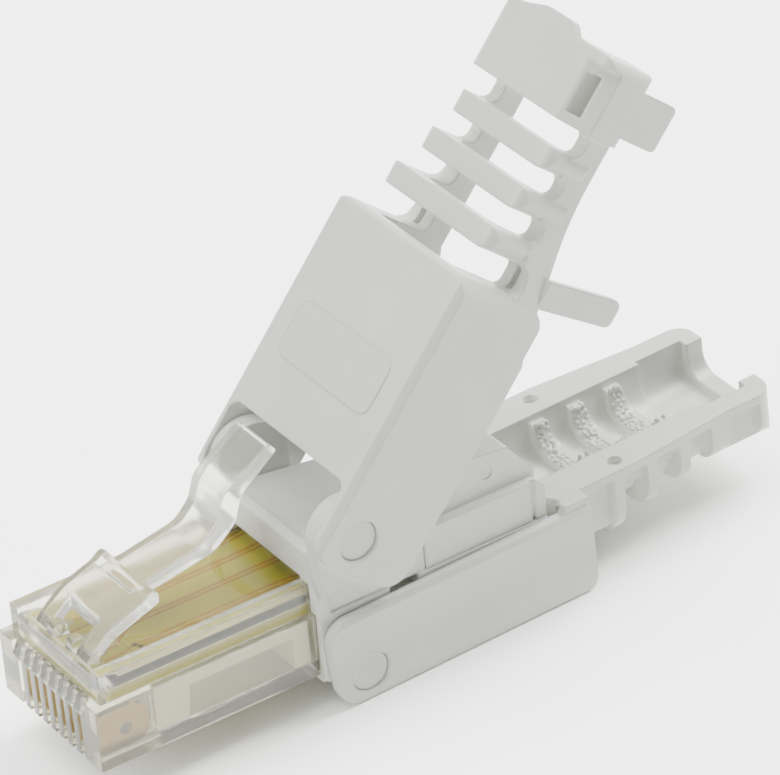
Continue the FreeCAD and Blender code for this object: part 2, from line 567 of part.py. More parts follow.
def side_tabs(low):
    """Guide arm beside the lower tail and a short tab at the collar, both on the same side."""
    inner = -CRADLE_ROOT / 2 - FIT
    outer = inner - ARM_THICKNESS
    x = COVER_REAR - 0.1
    lean = 0.6
    arm = prism_xz([
        (x, low + 0.2, 0), (x, low - 0.3, 0), (x + lean, low - ARM_LENGTH, 0.5),
        (x + lean + ARM_WIDTH, low - ARM_LENGTH, 0.6), (x + ARM_WIDTH, low + 0.2, 0),
    ], outer, inner)
    end = TAIL_END - 1.1
    side = -COLLAR_WIDTH / 2
    tab = prism_xz([
        (end - TAB_WIDTH, low + 1, 0), (end - TAB_WIDTH, low - TAB_LENGTH, 0.4),
        (end, low - TAB_LENGTH, 0.4), (end, low + 1, 0),
    ], side, side + SIDE_TAB_THICKNESS)
    return arm.fuse(tab)


def upper_cover():
    low = TAIL_GAP - HALF_SPAN
    mouth = slab(COVER_REAR - COVER_END_WALL - EPS, COVER_REAR + EPS, UPPER_TAIL_INNER,
                 -UPPER_DROP - EPS, UPPER_TOP - COVER_PANEL)
    body = upper_shell().cut(mouth).fuse(upper_rails(low)).fuse(upper_collar(low)).fuse(side_tabs(low))
    for i in range(UPPER_RIBS):
        body = body.fuse(arch(RIB_START + i * RIB_PITCH, low))
    return body.removeSplitter()


# ---------------------------------------------------------------- lower cover, closed, about its trunnion

def lower_shell():
    half = COVER_WIDTH / 2
    rear = LOWER_REAR
    sill = HALF_SPAN
    far = -COVER_FRONT - 1 - EPS
    outer = prism_xz([
        (-COVER_FRONT - 0.1, -LOWER_BOTTOM, 2.0), (rear, -LOWER_BOTTOM, 1.1), (rear, sill, 0),
        (SILL_FRONT + 0.9, sill, 0.3), (SILL_FRONT + 0.5, LOWER_RISE, 0.3),
        (-COVER_FRONT - 0.6, LOWER_RISE, 1.6),
    ], -half, half)
    middle = slab(SILL_FRONT, rear - 0.4, COVER_INNER, LOWER_RISE - 1, sill)
    room = prism_xy([
        (far, -COVER_INNER, 0), (SILL_FRONT + 1.5, -COVER_INNER, 0.5), (SILL_FRONT, -4.4, 0.4),
        (SILL_FRONT, 4.4, 0.4), (SILL_FRONT + 1.5, COVER_INNER, 0.5), (far, COVER_INNER, 0),
    ], 1.0 - LOWER_BOTTOM, sill + EPS)
    front = slab(far, LOWER_FLOOR_START, COVER_INNER, -LOWER_BOTTOM - EPS, sill + EPS)
    edge = prism_yz([
        (half + EPS, -LOWER_BOTTOM - EPS, 0), (half + EPS, 0.2 - LOWER_BOTTOM, 0),
        (half, 0.2 - LOWER_BOTTOM, 0), (half - 0.2, -LOWER_BOTTOM, 0), (half - 0.2, -LOWER_BOTTOM - EPS, 0),
    ], far, COVER_REAR + EPS)
    rim = prism_yz([
        (half + EPS, LOWER_RISE + EPS, 0), (half + EPS, LOWER_RISE - 0.3, 0), (half, LOWER_RISE - 0.3, 0),
        (half - 0.3, LOWER_RISE, 0), (half - 0.3, LOWER_RISE + EPS, 0),
    ], far, COVER_REAR + EPS)
    shell = outer.fuse(middle).cut(room).cut(front).cut(both_sides(edge)).cut(both_sides(rim))
    return shell.cut(rod_y(TRUNNION_RADIUS + TRUNNION_CLEARANCE, 0, 0, -half - EPS, half + EPS))


def cradle(x0, x1, half, depth, top, corner):
    """U-shaped outer rib below the rails, its channel cut later."""
    return prism_yz([
        (half, top, 0), (half, top - depth, corner), (-half, top - depth, corner), (-half, top, 0),
    ], x0, x1)


def rib_ramp(x, half, low, high):
    """Hollow-curved flank that runs from the wall out to the nose side of a rib."""
    foot = half - GROOVE_DEPTH
    arc = Part.Arc(FreeCAD.Vector(x - RAMP_LENGTH, foot, low),
                   FreeCAD.Vector(x - 0.3 * RAMP_LENGTH, foot + 0.3 * GROOVE_DEPTH, low),
                   FreeCAD.Vector(x + 0.1, half, low))
    sides = [Part.makeLine(FreeCAD.Vector(x + 0.1, half, low), FreeCAD.Vector(x + 0.1, foot - 0.3, low)),
             Part.makeLine(FreeCAD.Vector(x + 0.1, foot - 0.3, low), FreeCAD.Vector(x - RAMP_LENGTH, foot - 0.3, low)),
             Part.makeLine(FreeCAD.Vector(x - RAMP_LENGTH, foot - 0.3, low),
                           FreeCAD.Vector(x - RAMP_LENGTH, foot, low))]
    face = Part.Face(Part.Wire([arc.toShape()] + sides))
    return both_sides(face.extrude(FreeCAD.Vector(0, 0, high - low)))


def tail_half(x):
    """Half width of the lower rails: full behind the cover, then narrowing to the end block."""
    start = COVER_REAR + RAIL_STRAIGHT
    share = min(max((x - start) / (TAIL_END - COLLAR_LENGTH + 0.9 - start), 0), 1)
    return (CRADLE_ROOT + (CRADLE_TIP - CRADLE_ROOT) * share) / 2


def lower_tail():
    top = HALF_SPAN
    start = COVER_REAR - 0.4
    collar = TAIL_END - COLLAR_LENGTH + 0.9
    root = CRADLE_ROOT / 2
    tip = CRADLE_TIP / 2
    rib = RIB_START + RIB_FACE_SETBACK
    knee = COVER_REAR + RAIL_STRAIGHT
    plan = prism_xy([
        (start, -root, 0), (knee, -root, 3), (collar, -tip, 6), (TAIL_END, -tip, 1.3),
        (TAIL_END, tip, 1.3), (collar, tip, 6), (knee, root, 3), (start, root, 0),
    ], top - 8, top)
    body = slab(start, TAIL_END, root, top - LOWER_RAIL_HEIGHT, top)
    for i in range(CRADLE_RIBS):
        x = rib + i * CRADLE_PITCH
        half = tail_half(x)
        depth = taper(x, 6.4, 3.3)
        body = body.fuse(cradle(x, x + CRADLE_LENGTH, half, depth, top - 0.3, 2.8))
        if i > 0:
            body = body.fuse(rib_ramp(x, half, top - depth + 2.2, top - 0.3))
        length = CRADLE_PITCH - CRADLE_LENGTH if i else x - start
        wall_depth = 2.0 if i else 4.5
        wall = slab(x - length, x + 0.1, half - GROOVE_DEPTH, top - wall_depth, top - 0.3)
        body = body.fuse(wall)
    core = cradle(start, collar + 0.4, LOWER_TAIL_INNER + 1.0, 3.7, top - 0.3, 3.2)
    block = cradle(collar - 0.5, TAIL_END, tip, 3.4, top - 0.3, 2.8)
    panel = prism_xz([
        (collar + 0.4, top - 0.6, 0.3), (TAIL_END - 1.3, top - 0.6, 0.3), (TAIL_END - 1.3, top - 8, 0),
        (collar + 0.4, top - 8, 0),
    ], tip - 0.4, tip + EPS)
    body = body.fuse(core).fuse(block).common(plan).cut(both_sides(panel))
    for side in (-1, 1):
        foot = FreeCAD.Vector(COVER_REAR + 3.3, side * (LOWER_TAIL_INNER + 1.55), top - 0.5)
        body = body.cut(Part.makeCylinder(0.5, 1.5, foot))
    return body


def cable_channel(top):
    """Round-bottomed channel with a wider pocket before the rim at its end."""
    def trough(x0, x1, half, depth):
        return prism_yz([
            (-half, top + EPS, 0), (-half, top - depth, 2.6), (half, top - depth, 2.6), (half, top + EPS, 0),
        ], x0, x1)
    end = TAIL_END
    through = trough(SILL_FRONT - EPS, end - 1.4, LOWER_TAIL_INNER, 2.9)
    pocket = trough(end - COLLAR_LENGTH, end - 1.3, LOWER_TAIL_INNER + 0.4, 3.0)
    rim = trough(end - 2.0, end + EPS, LOWER_TAIL_INNER - 0.3, 2.35)
    return through.fuse(pocket).fuse(rim)


def grip_ribs(top):
    """Ribs across the channel that bite into the cable's jacket, each with a sloping tail side."""
    half = LOWER_TAIL_INNER + 0.3
    inner = LOWER_TAIL_INNER - 0.75
    ribs = []
    for i in range(GRIP_RIBS):
        x = RIB_START + 0.15 + i * RIB_PITCH
        rib = prism_yz([
            (-half, top - 0.5, 0), (-half, top - 3.3, 2.6), (half, top - 3.3, 2.6), (half, top - 0.5, 0),
            (inner, top - 0.5, 0), (inner, top - 2.2, 1.9), (-inner, top - 2.2, 1.9), (-inner, top - 0.5, 0),
        ], x, x + GRIP_RIB)
        flank = prism_xz([
            (x, top - 4, 0), (x + GRIP_RIB, top - 4, 0), (x + GRIP_RIB, top - 2.9, 0),
            (x + GRIP_RIB - GRIP_FLANK, top - 0.5, 0), (x, top - 0.5, 0),
        ], -half - EPS, half + EPS)
        ribs.append(rib.common(flank))
    return Part.makeCompound(ribs)


def lower_cover():
    return lower_shell().fuse(lower_tail()).cut(cable_channel(HALF_SPAN)).fuse(grip_ribs(HALF_SPAN)).removeSplitter()


# ---------------------------------------------------------------- poses

FLAT_MIDDLE = (LOWER_FLOOR_START + COVER_REAR) / 2  # origin, measured from the lower trunnion


def placed_lower(shape):
    shape = shape.copy()
    shape.translate(FreeCAD.Vector(-FLAT_MIDDLE, 0, LOWER_BOTTOM))
    return shape


def placed_plug(shape):
    """Plug frame to world: the lower trunnion goes to its bearing, then the lean is applied."""
    shape = shape.copy()
    shape.translate(FreeCAD.Vector(-PIVOT_X, 0, -LOWER_PIVOT_Z))
    shape.rotate(FreeCAD.Vector(0, 0, 0), FreeCAD.Vector(0, 1, 0), LEAN_DEG)
    return placed_lower(shape)


def placed_upper(shape):
    shape = shape.copy()
    shape.rotate(FreeCAD.Vector(0, 0, 0), FreeCAD.Vector(0, 1, 0), -UPPER_OPEN_DEG)
    shape.translate(FreeCAD.Vector(PIVOT_X, 0, UPPER_PIVOT_Z))
    return placed_plug(shape)


def build():
    nodes = {
        "nose_shell": placed_plug(nose_shell()),
        "contact_carrier": placed_plug(contact_carrier()),
        "circuit_board": placed_plug(circuit_board()),
        "latch_lever": placed_plug(latch_lever()),
        "terminal_housing": placed_plug(terminal_housing()),
        "wire_cap": placed_plug(wire_cap()),
        "upper_cover": placed_upper(upper_cover()),
        "lower_cover": placed_lower(lower_cover()),
    }
    for i in range(CONTACTS):
        nodes["plug_contact_%d" % (i + 1)] = placed_plug(contact(i))
        nodes["terminal_blade_%d" % (i + 1)] = placed_plug(terminal_blade(i))
    return nodes


os.makedirs("parts", exist_ok=True)
for name, shape in build().items():
    shape.exportStep("parts/" + name + ".step")
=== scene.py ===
import math

import bmesh
import bpy
from mathutils import Euler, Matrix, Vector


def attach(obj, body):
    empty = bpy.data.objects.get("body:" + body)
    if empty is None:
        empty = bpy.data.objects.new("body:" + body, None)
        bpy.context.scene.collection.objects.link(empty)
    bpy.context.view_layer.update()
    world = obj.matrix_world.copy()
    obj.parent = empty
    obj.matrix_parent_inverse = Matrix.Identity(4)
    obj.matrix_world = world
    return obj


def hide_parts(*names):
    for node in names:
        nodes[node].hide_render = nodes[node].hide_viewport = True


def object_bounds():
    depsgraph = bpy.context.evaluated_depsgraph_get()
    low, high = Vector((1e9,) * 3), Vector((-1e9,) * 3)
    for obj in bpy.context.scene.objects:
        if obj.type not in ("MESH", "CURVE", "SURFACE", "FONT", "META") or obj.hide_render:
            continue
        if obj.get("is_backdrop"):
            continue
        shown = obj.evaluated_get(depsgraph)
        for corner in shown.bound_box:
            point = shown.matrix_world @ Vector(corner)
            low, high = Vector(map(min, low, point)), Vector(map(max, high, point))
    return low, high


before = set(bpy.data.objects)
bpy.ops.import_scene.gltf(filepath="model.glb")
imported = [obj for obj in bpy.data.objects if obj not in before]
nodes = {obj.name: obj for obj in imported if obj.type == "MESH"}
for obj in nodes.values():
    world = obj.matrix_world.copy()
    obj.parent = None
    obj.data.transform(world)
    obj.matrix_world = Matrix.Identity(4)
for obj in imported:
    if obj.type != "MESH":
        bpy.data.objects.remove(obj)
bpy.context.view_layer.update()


# --- Camera, table and light -------------------------------------------------
# The plug lies on a pale matt table in a light tent: soft panels overhead and at both
# ends, so the near sides are a shade darker than the tops and no hollow goes black.
camera = bpy.data.objects.new("camera", bpy.data.cameras.new("camera"))
bpy.context.scene.collection.objects.link(camera)
camera.location = (-0.158469, -0.2709, 0.22561)
camera.rotation_euler = Euler((math.radians(56.0295), math.radians(5.9123), math.radians(-33.9656)))
camera.data.lens = 274.2
camera.data.sensor_width = 36.0
camera.data.clip_start = 0.01
camera.data.clip_end = 20.0
bpy.context.scene.camera = camera


def linear(hex_colour):
    """The sRGB hex colour as the linear RGBA that a shader takes."""
    parts = [int(hex_colour[i:i + 2], 16) / 255 for i in (0, 2, 4)]
    return [c / 12.92 if c <= 0.04045 else ((c + 0.055) / 1.055) ** 2.4 for c in parts] + [1.0]


def add_node(owner, kind, links=None, **settings):
    """A node in the owner's tree, with settings by attribute or input name.

    Links give, for an input, the node and output that feed it.
    """
    tree = owner.node_tree
    node = tree.nodes.new(kind)
    for name, value in settings.items():
        if hasattr(node, name):
            setattr(node, name, value)
        else:
            node.inputs[name.replace("_", " ")].default_value = value
    for name, (source, output) in (links or {}).items():
        tree.links.new(source.outputs[output], node.inputs[name])
    return node


def start_material(name):
    """An empty node material with its Principled shader and output: (material, shader)."""
    material = bpy.data.materials.new(name)
    material.use_nodes = True
    material.node_tree.nodes.clear()
    shader = add_node(material, "ShaderNodeBsdfPrincipled")
    add_node(material, "ShaderNodeOutputMaterial", {"Surface": (shader, "BSDF")})
    return material, shader


def mesh_piece(name, points, faces, material):
    """A piece made from points in metres and faces."""
    mesh = bpy.data.meshes.new(name)
    mesh.from_pydata(points, [], faces)
    mesh.materials.append(material)
    mesh.validate()
    piece = bpy.data.objects.new(name, mesh)
    bpy.context.scene.collection.objects.link(piece)
    return piece


# The table: matt laminate, nearly white, with its paper's faintest mottle of 6 mm.
laminate, shader = start_material("matt_laminate")
where = add_node(laminate, "ShaderNodeTexCoord")
mottle = add_node(laminate, "ShaderNodeTexNoise", {"Vector": (where, "Object")},
                  Scale=180.0, Detail=4.0)
shade = add_node(laminate, "ShaderNodeValToRGB", {"Fac": (mottle, "Fac")})
shade.color_ramp.elements[0].color = linear("F9F9F8")
shade.color_ramp.elements[1].color = linear("FDFDFC")
laminate.node_tree.links.new(shade.outputs["Color"], shader.inputs["Base Color"])
shader.inputs["Roughness"].default_value = 0.75
TABLE_HALF = 3.0
corners = [(-TABLE_HALF, -TABLE_HALF, 0), (TABLE_HALF, -TABLE_HALF, 0), (TABLE_HALF, TABLE_HALF, 0),
           (-TABLE_HALF, TABLE_HALF, 0)]
table = mesh_piece("table", corners, [(0, 1, 2, 3)], laminate)
table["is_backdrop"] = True

world = bpy.data.worlds.new("light_tent")
world.use_nodes = True
# The tent's roof is brighter than its walls, and the wall behind the camera is the dimmest.
where = add_node(world, "ShaderNodeTexCoord")
direction = add_node(world, "ShaderNodeSeparateXYZ", {"Vector": (where, "Generated")})
roof_glow = add_node(world, "ShaderNodeMapRange", {"Value": (direction, "Z")},
                     From_Min=0.15, From_Max=0.9, To_Min=1.0, To_Max=1.8)
wall_glow = add_node(world, "ShaderNodeMapRange", {"Value": (direction, "Y")},
                     From_Min=-1.0, From_Max=0.1, To_Min=0.28, To_Max=1.0)
tent_light = add_node(world, "ShaderNodeMath", {0: (roof_glow, "Result"), 1: (wall_glow, "Result")},
                      operation="MULTIPLY")
tent = world.node_tree.nodes["Background"]
tent.inputs["Color"].default_value = linear("F6F6F4")
world.node_tree.links.new(tent_light.outputs["Value"], tent.inputs["Strength"])
bpy.context.scene.world = world
for name, place, size, power in (
    ("overhead_panel", (-0.12, 0.20, 0.72), 0.60, 9.0),
    ("left_panel", (-0.66, 0.10, 0.42), 0.45, 6.0),
    ("tail_fill", (0.42, 0.05, 0.50), 0.45, 14.0),
):
    lamp = bpy.data.objects.new(name, bpy.data.lights.new(name, "AREA"))
    lamp.data.size = size
    lamp.data.energy = power
    lamp.location = place
    lamp.rotation_euler = (-lamp.location).to_track_quat("-Z", "Y").to_euler()
    bpy.context.scene.collection.objects.link(lamp)


# --- Nose and latch -----------------------------------------------------------
# One clear moulding in the real plug: polycarbonate, polished on the faces that
# the jack sees.  In the real plug the latch bends at its two thin roots on the front block.
def set_finish(material, *names):
    """Puts the finish on the named CAD nodes."""
    for name in names:
        nodes[name].data.materials.clear()
        nodes[name].data.materials.append(material)


polycarbonate, shader = start_material("clear_polycarbonate")
where = add_node(polycarbonate, "ShaderNodeTexCoord")
# The mould's polish leaves a slow ripple of about 1.5 mm, which breaks up the highlights.
ripple = add_node(polycarbonate, "ShaderNodeTexNoise", {"Vector": (where, "Object")},
                  Scale=650.0, Detail=2.0)
soft_edge = add_node(polycarbonate, "ShaderNodeBevel", samples=6, Radius=0.00018)
relief = add_node(polycarbonate, "ShaderNodeBump",
                  {"Height": (ripple, "Fac"), "Normal": (soft_edge, "Normal")},
                  Strength=0.25, Distance=0.00006)
polycarbonate.node_tree.links.new(relief.outputs["Normal"], shader.inputs["Normal"])
# The roof over the board is polished and clear; rails, sides and latch keep a light haze.  Clear is what
# lies level within 4.25 mm of the middle and less than 8.9 mm above the table, which leaves out the
# rails' tops and the latch above its roots.
ROOF_HALF = 0.00425
ROOF_LIMIT = 0.0089
LEAST_LEVEL = 0.9
spot = add_node(polycarbonate, "ShaderNodeSeparateXYZ", {"Vector": (where, "Object")})
facing = add_node(polycarbonate, "ShaderNodeNewGeometry")
slant = add_node(polycarbonate, "ShaderNodeSeparateXYZ", {"Vector": (facing, "Normal")})
aside = add_node(polycarbonate, "ShaderNodeMath", {0: (spot, "Y")}, operation="ABSOLUTE")
between = add_node(polycarbonate, "ShaderNodeMath", {0: (aside, "Value")}, operation="LESS_THAN")
between.inputs[1].default_value = ROOF_HALF
low = add_node(polycarbonate, "ShaderNodeMath", {0: (spot, "Z")}, operation="LESS_THAN")
low.inputs[1].default_value = ROOF_LIMIT
flat = add_node(polycarbonate, "ShaderNodeMath", {0: (slant, "Z")}, operation="ABSOLUTE")
level = add_node(polycarbonate, "ShaderNodeMath", {0: (flat, "Value")}, operation="GREATER_THAN")
level.inputs[1].default_value = LEAST_LEVEL
roof = add_node(polycarbonate, "ShaderNodeMath", {0: (between, "Value"), 1: (low, "Value")},
                operation="MULTIPLY")
polished = add_node(polycarbonate, "ShaderNodeMath", {0: (roof, "Value"), 1: (level, "Value")},
                    operation="MULTIPLY")
clarity = add_node(polycarbonate, "ShaderNodeMapRange", {"Value": (polished, "Value")},
                   To_Min=0.95, To_Max=1.0)
haze = add_node(polycarbonate, "ShaderNodeMapRange", {"Value": (polished, "Value")},
                To_Min=0.14, To_Max=0.07)
polycarbonate.node_tree.links.new(clarity.outputs["Result"], shader.inputs["Transmission Weight"])
polycarbonate.node_tree.links.new(haze.outputs["Result"], shader.inputs["Roughness"])
# What lies higher, the latch and the rails' tops, shows less of the resin's yellow.
tint = add_node(polycarbonate, "ShaderNodeValToRGB", {"Fac": (low, "Value")})
tint.color_ramp.elements[0].color = linear("F0EFE6")
tint.color_ramp.elements[1].color = linear("E4E2C8")
polycarbonate.node_tree.links.new(tint.outputs["Color"], shader.inputs["Base Color"])
shader.inputs["IOR"].default_value = 1.585
set_finish(polycarbonate, "nose_shell", "latch_lever")

# The plug leans nose up about the lower trunnions, whose place is given here in millimetres: first in
# the plug's own frame, where x runs back from the nose's face and z up from its underside, and then in
# the scene.
LEAN = math.radians(1.9)
TRUNNION_X = 19.15
LOWER_TRUNNION_Z = -0.42
SCENE_TRUNNION_X = -10.15
SCENE_TRUNNION_Z = 2.05


def on_plug(x, y, z):
    """A place in the plug's own frame, millimetres, as metres in the scene."""
    back = x - TRUNNION_X
    up = z - LOWER_TRUNNION_Z
    return ((math.cos(LEAN) * back + math.sin(LEAN) * up + SCENE_TRUNNION_X) / 1000, y / 1000,
            (math.cos(LEAN) * up - math.sin(LEAN) * back + SCENE_TRUNNION_Z) / 1000)


# The clear roof runs on for 1 mm under the housing's brow, which hides its end.  Sizes are millimetres
# in the plug's frame; the added piece starts inside the roof.
ROOF_FROM, ROOF_TO = 16.1, 17.35
ROOF_UNDERSIDE, ROOF_TOP = 5.105, 5.645
ROOF_END_HALF = 4.3
plan = ((ROOF_FROM, -ROOF_END_HALF), (ROOF_TO, -ROOF_END_HALF), (ROOF_TO, ROOF_END_HALF),
        (ROOF_FROM, ROOF_END_HALF))
corners = [on_plug(x, y, z) for z in (ROOF_UNDERSIDE, ROOF_TOP) for x, y in plan]
box_faces = [(3, 2, 1, 0), (4, 5, 6, 7), (0, 1, 5, 4), (1, 2, 6, 5), (2, 3, 7, 6), (3, 0, 4, 7)]
roof_end = mesh_piece("roof_end", corners, box_faces, polycarbonate)
clear_nose = bpy.data.objects.new("clear_nose", nodes["nose_shell"].data.copy())
bpy.context.scene.collection.objects.link(clear_nose)
welded = bmesh.new()
welded.from_mesh(clear_nose.data)
bmesh.ops.remove_doubles(welded, verts=welded.verts, dist=1e-7)
welded.to_mesh(clear_nose.data)
welded.free()
union = clear_nose.modifiers.new("roof", "BOOLEAN")
union.operation = "UNION"
union.solver = "EXACT"
union.object = roof_end
shaped = clear_nose.evaluated_get(bpy.context.evaluated_depsgraph_get())
one_moulding = bpy.data.meshes.new_from_object(shaped)
clear_nose.modifiers.remove(union)
clear_nose.data = one_moulding
bpy.data.objects.remove(roof_end)
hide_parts("nose_shell")
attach(clear_nose, "plug")


# --- Contact carrier ------------------------------------------------------------
# White insert that pushes into the nose from behind and holds the contacts
# square.  Glass-filled polyester, dull beside the clear wall.
carrier_polyester, shader = start_material("carrier_polyester")
where = add_node(carrier_polyester, "ShaderNodeTexCoord")
# The short glass fibres leave a speckle of 0.2 mm.
glass_fibre = add_node(carrier_polyester, "ShaderNodeTexNoise", {"Vector": (where, "Object")},
                       Scale=5200.0, Detail=3.0)
shade = add_node(carrier_polyester, "ShaderNodeValToRGB", {"Fac": (glass_fibre, "Fac")})
shade.color_ramp.elements[0].color = linear("F6F5EC")
shade.color_ramp.elements[1].color = linear("FCFBF5")
relief = add_node(carrier_polyester, "ShaderNodeBump", {"Height": (glass_fibre, "Fac")},
                  Strength=0.3, Distance=0.00002)
carrier_polyester.node_tree.links.new(shade.outputs["Color"], shader.inputs["Base Color"])
carrier_polyester.node_tree.links.new(relief.outputs["Normal"], shader.inputs["Normal"])
shader.inputs["Roughness"].default_value = 0.55
set_finish(carrier_polyester, "contact_carrier")


# --- Circuit board --------------------------------------------------------------
# Thin glass-epoxy board under the nose's roof, with one track from each contact's
# pin back to its terminal blade.
glass_epoxy, shader = start_material("glass_epoxy_laminate")
where = add_node(glass_epoxy, "ShaderNodeTexCoord")
# The glass cloth's strands, 0.4 mm apart, show faintly through the resin.
warp = add_node(glass_epoxy, "ShaderNodeTexWave", {"Vector": (where, "Object")},
                bands_direction="X", Scale=800.0)
weft = add_node(glass_epoxy, "ShaderNodeTexWave", {"Vector": (where, "Object")},
                bands_direction="Y", Scale=800.0)
cloth = add_node(glass_epoxy, "ShaderNodeMath", {0: (warp, "Fac"), 1: (weft, "Fac")},
                 operation="MULTIPLY")
shade = add_node(glass_epoxy, "ShaderNodeValToRGB", {"Fac": (cloth, "Value")})
shade.color_ramp.elements[0].color = linear("CDC452")
shade.color_ramp.elements[1].color = linear("D6CD60")
glass_epoxy.node_tree.links.new(shade.outputs["Color"], shader.inputs["Base Color"])
shader.inputs["Roughness"].default_value = 0.6
shader.inputs["Specular IOR Level"].default_value = 0.2
set_finish(glass_epoxy, "circuit_board")

# Copper under the clear resist looks orange, a little uneven every 0.3 mm from the etching.
copper, shader = start_material("copper_under_resist")
where = add_node(copper, "ShaderNodeTexCoord")
etching = add_node(copper, "ShaderNodeTexNoise", {"Vector": (where, "Object")},
                   Scale=3000.0, Detail=2.0)
shade = add_node(copper, "ShaderNodeValToRGB", {"Fac": (etching, "Fac")})
shade.color_ramp.elements[0].color = linear("C48E48")
shade.color_ramp.elements[1].color = linear("CE9A54")
copper.node_tree.links.new(shade.outputs["Color"], shader.inputs["Base Color"])
shader.inputs["Roughness"].default_value = 0.6
shader.inputs["Specular IOR Level"].default_value = 0.2

# Tracks and pads start a hair above the board, so that no faces coincide.
BOARD_TOP = 5.05
SEAT = 0.001


def ribbon(course, width, height):
    """Flat strip along a course of (x, y) on the board: (points, faces)."""
    points, faces = [], []
    for i, (x, y) in enumerate(course):
        before = course[max(i - 1, 0)]
        after = course[min(i + 1, len(course) - 1)]
        length = math.hypot(after[0] - before[0], after[1] - before[1])
        across_x = (before[1] - after[1]) / length * width / 2
        across_y = (after[0] - before[0]) / length * width / 2
        for side in (-1, 1):
            for z in (BOARD_TOP + SEAT, BOARD_TOP + height):
                points.append(on_plug(x + side * across_x, y + side * across_y, z))
    for i in range(len(course) - 1):
        a, b = 4 * i, 4 * i + 4
        faces += [(b + 1, b + 3, a + 3, a + 1), (b, b + 1, a + 1, a), (b + 3, b + 2, a + 2, a + 3),
                  (b + 2, b, a, a + 2)]
    last = 4 * (len(course) - 1)
    faces += [(1, 3, 2, 0), (last + 2, last + 3, last + 1, last)]
    return points, faces


def disc(x, y, radius, height, sides=20):
    """Flat round pad on the board: (points, faces)."""
    turns = [math.tau * i / sides for i in range(sides)]
    points = [on_plug(x + radius * math.cos(t), y + radius * math.sin(t), z)
              for z in (BOARD_TOP + SEAT, BOARD_TOP + height) for t in turns]
    faces = [tuple(range(sides, 2 * sides)), tuple(reversed(range(sides)))]
    faces += [(i, (i + 1) % sides, sides + (i + 1) % sides, sides + i) for i in range(sides)]
    return points, faces


def joined(name, parts, material):
    """One piece from several (points, faces)."""
    points, faces = [], []
    for part_points, part_faces in parts:
        start = len(points)
        points += part_points
        faces += [tuple(start + i for i in face) for face in part_faces]
    return mesh_piece(name, points, faces, material)


# A track runs straight back from its contact's pin, turns in to its lane, and spreads a little on its
# way under the housing.  The lanes of a pair lie 0.38 mm apart, side by side as the cable's pairs are.
LANES = (-2.62, -2.24, -0.25, 0.13, 1.75, 2.13, 3.55, 3.93)
CONTACT_PITCH = 1.02
PIN_ROWS = (3.2, 1.9)
TURN_FROM = 4.2
TURN_EXTRA = 0.5
SPREAD_FROM, SPREAD_TO = 15.5, 17.5
SPREAD = 1.06
TRACK_END = 24.0
TRACK_WIDTH, TRACK_HEIGHT = 0.17, 0.02
PAD_RADIUS, PAD_HEIGHT = 0.4, 0.035
tracks, pads = [], []
for i, lane in enumerate(LANES):
    pin_x = PIN_ROWS[i % 2]
    pin_y = (i - (len(LANES) - 1) / 2) * CONTACT_PITCH
    lane_from = TURN_FROM + abs(lane - pin_y) + TURN_EXTRA
    end_y = lane * SPREAD
    course = [(pin_x, pin_y), (TURN_FROM, pin_y), (lane_from, lane), (SPREAD_FROM, lane),
              (SPREAD_TO, end_y), (TRACK_END, end_y)]
    tracks.append(ribbon(course, TRACK_WIDTH, TRACK_HEIGHT))
    pads.append(disc(pin_x, pin_y, PAD_RADIUS, PAD_HEIGHT))
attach(joined("board_tracks", tracks, copper), "plug")

# Solder round each contact's pin: bright tin, with a frost of 0.2 mm where it set.
solder, shader = start_material("solder")
where = add_node(solder, "ShaderNodeTexCoord")
frost = add_node(solder, "ShaderNodeTexNoise", {"Vector": (where, "Object")},
                 Scale=5000.0, Detail=2.0)
dullness = add_node(solder, "ShaderNodeMapRange", {"Value": (frost, "Fac")},
                    To_Min=0.2, To_Max=0.45)
solder.node_tree.links.new(dullness.outputs["Result"], shader.inputs["Roughness"])
shader.inputs["Base Color"].default_value = linear("C9C8C2")
shader.inputs["Metallic"].default_value = 1.0
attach(joined("solder_pads", pads, solder), "plug")

# Plated holes that lead to the board's other face: small and dark.
HOLE_PLACES = ((5.4, -2.62), (5.2, -2.24), (5.9, 3.55), (17.0, -3.6), (17.2, 4.4))
HOLE_RADIUS, HOLE_HEIGHT = 0.2, 0.028
hole_plating, shader = start_material("plated_hole")
where = add_node(hole_plating, "ShaderNodeTexCoord")
plating = add_node(hole_plating, "ShaderNodeTexNoise", {"Vector": (where, "Object")},
                   Scale=4000.0, Detail=2.0)
shade = add_node(hole_plating, "ShaderNodeValToRGB", {"Fac": (plating, "Fac")})
shade.color_ramp.elements[0].color = linear("4A4018")
shade.color_ramp.elements[1].color = linear("63561F")
hole_plating.node_tree.links.new(shade.outputs["Color"], shader.inputs["Base Color"])
shader.inputs["Roughness"].default_value = 0.5
holes = [disc(x, y, HOLE_RADIUS, HOLE_HEIGHT) for x, y in HOLE_PLACES]
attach(joined("plated_holes", holes, hole_plating), "plug")


# --- Plug contacts ---------------------------------------------------------------
# Eight stamped phosphor-bronze blades, gold over nickel on the edge that meets
# the jack's springs.  The stamping leaves marks of 0.4 mm in their shine.
CONTACT_NUMBERS = range(1, 9)
gold_plate, shader = start_material("gold_plated_bronze")
where = add_node(gold_plate, "ShaderNodeTexCoord")
stamping = add_node(gold_plate, "ShaderNodeTexNoise", {"Vector": (where, "Object")},
                    Scale=2500.0, Detail=3.0)
dullness = add_node(gold_plate, "ShaderNodeMapRange", {"Value": (stamping, "Fac")},
                    To_Min=0.22, To_Max=0.40)
gold_plate.node_tree.links.new(dullness.outputs["Result"], shader.inputs["Roughness"])
shader.inputs["Base Color"].default_value = linear("8A6E12")
shader.inputs["Metallic"].default_value = 1.0
set_finish(gold_plate, *(f"plug_contact_{number}" for number in CONTACT_NUMBERS))


